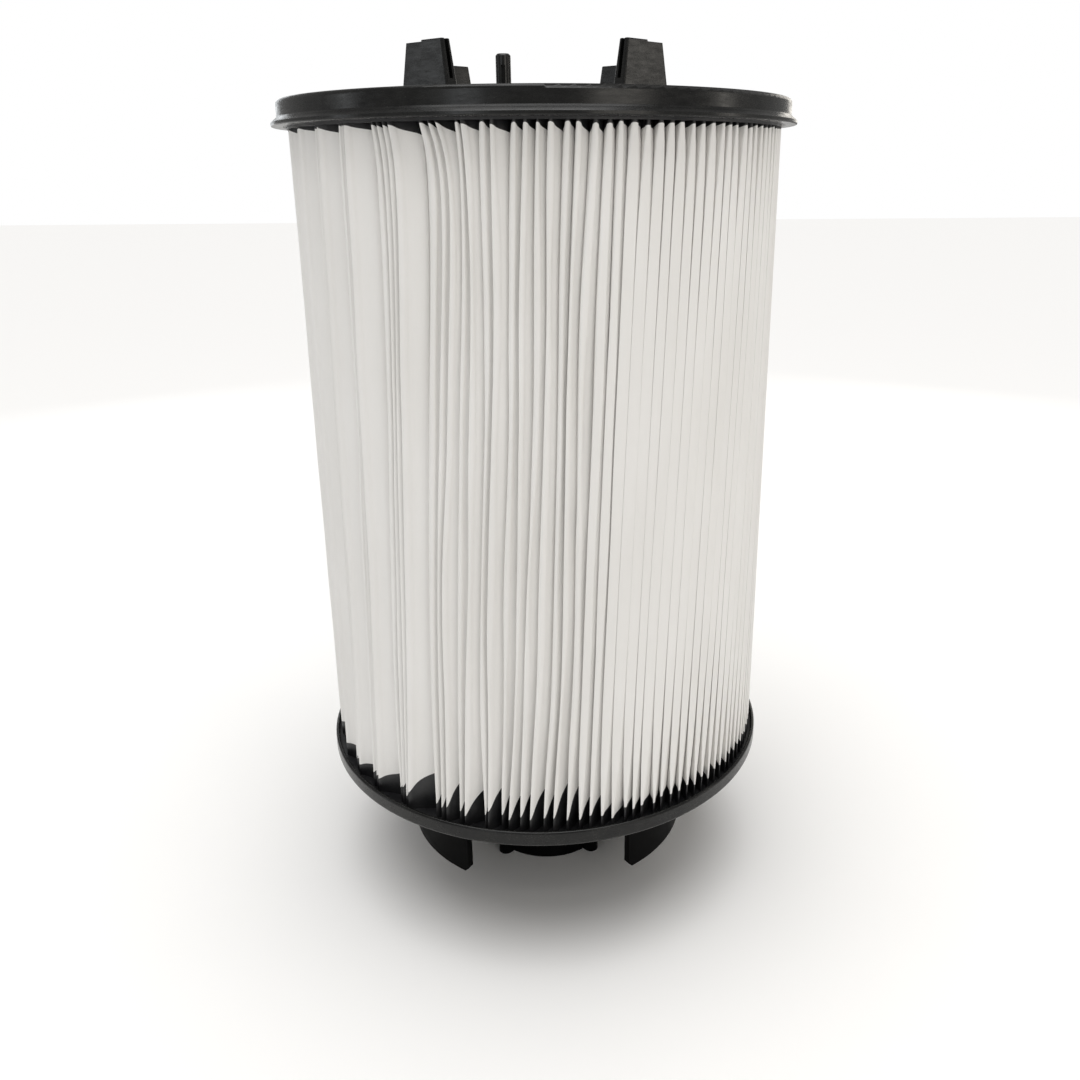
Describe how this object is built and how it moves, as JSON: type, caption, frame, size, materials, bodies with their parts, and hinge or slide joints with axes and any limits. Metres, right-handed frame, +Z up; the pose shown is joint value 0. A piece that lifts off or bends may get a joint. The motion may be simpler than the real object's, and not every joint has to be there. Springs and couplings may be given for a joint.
{
  "type": "filter cartridge",
  "caption": "Tall round pleated filter cartridge for a pool filter tank, with an open ring-shaped top cap, hold-down lugs, two curved feet and a central outlet hub.",
  "frame": {"origin": "on the cartridge's axis, at the underside of the outlet hub, which is what it stands on", "axes": "+Z up along the axis, and -Y towards the front, where the gap between the two feet and the slotted post are"},
  "size_m": [0.3999, 0.4, 0.6945],
  "materials": {
    "cap_plastic": "moulded, glossy black",
    "seal_rubber": "soft matt black",
    "potting": "cast polyurethane, satin black",
    "media": "bonded polyester sheet, matt warm white",
    "core_plastic": "moulded, natural white",
    "screw_steel": "stainless"
  },
  "bodies": {
    "root": {"top_cap": "cap_plastic", "hold_down_lug_front_left": "cap_plastic", "hold_down_lug_front_right": "cap_plastic", "hold_down_lug_back_left": "cap_plastic", "hold_down_lug_back_right": "cap_plastic", "slotted_post": "cap_plastic", "opening_seal_ring": "seal_rubber", "top_potting": "potting", "pleated_media": "media", "seam_clip": "core_plastic", "core_section_1": "core_plastic", "core_section_2": "core_plastic", "core_section_3": "core_plastic", "core_section_4": "core_plastic", "bottom_potting": "potting", "bottom_cap": "cap_plastic", "right_foot": "cap_plastic", "left_foot": "cap_plastic", "outlet_hub": "cap_plastic", "hub_mouth_ring": "cap_plastic", "hub_flange": "cap_plastic", "outlet_seal_ring": "seal_rubber", "hub_gasket": "seal_rubber", "hub_screws": "screw_steel"}
  },
  "joints": []
}
